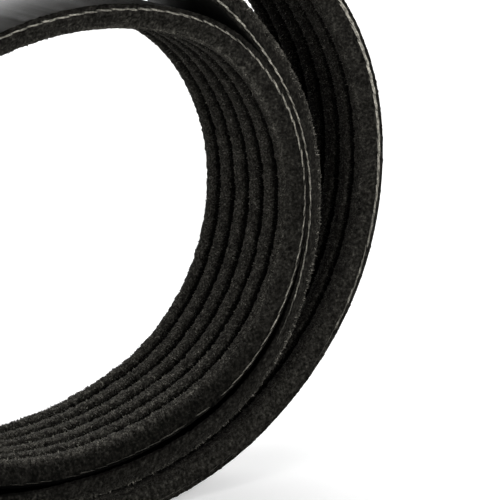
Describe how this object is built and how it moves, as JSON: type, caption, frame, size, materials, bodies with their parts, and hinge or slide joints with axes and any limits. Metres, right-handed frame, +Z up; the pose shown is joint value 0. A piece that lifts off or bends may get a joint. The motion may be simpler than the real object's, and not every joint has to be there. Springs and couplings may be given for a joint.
{
  "type": "serpentine belt",
  "caption": "Ribbed rubber drive belt for an engine's front accessories, lying loose in a flat coil that stands on its edge.",
  "frame": {"origin": "on the ground under the middle of the coil's box", "axes": "+Z up, X along the coil, Y across the belt's width"},
  "size_m": [0.1226, 0.0214, 0.1153],
  "materials": {
    "rubber": "matt black rubber with a fibre-flecked ribbed side"
  },
  "bodies": {
    "root": {"ribbed_belt": "rubber"}
  },
  "joints": []
}
